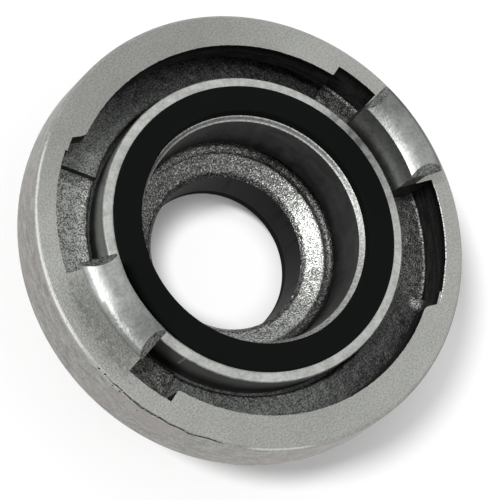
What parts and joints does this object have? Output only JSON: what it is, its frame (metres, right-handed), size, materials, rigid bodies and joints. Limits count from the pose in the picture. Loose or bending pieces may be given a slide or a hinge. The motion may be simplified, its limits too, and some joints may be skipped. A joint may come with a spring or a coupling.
{
  "type": "hose coupling reducing adapter",
  "caption": "Round cast reducing adapter with a claw hose coupling head of a different size at each end, an open waterway through it and a rubber ring seal in each head.",
  "frame": {"origin": "on the axis, at the level of the small head's claw tops that the part stands on", "axes": "+Z along the waterway towards the large head, +X through the claws"},
  "size_m": [0.129, 0.129, 0.0652],
  "materials": {
    "cast_aluminium": "blasted casting with turned faces and rough cast pockets",
    "seal_rubber": "matte moulded rubber"
  },
  "bodies": {
    "root": {"adapter_body": "cast_aluminium", "large_seal": "seal_rubber", "small_seal": "seal_rubber"}
  },
  "joints": []
}
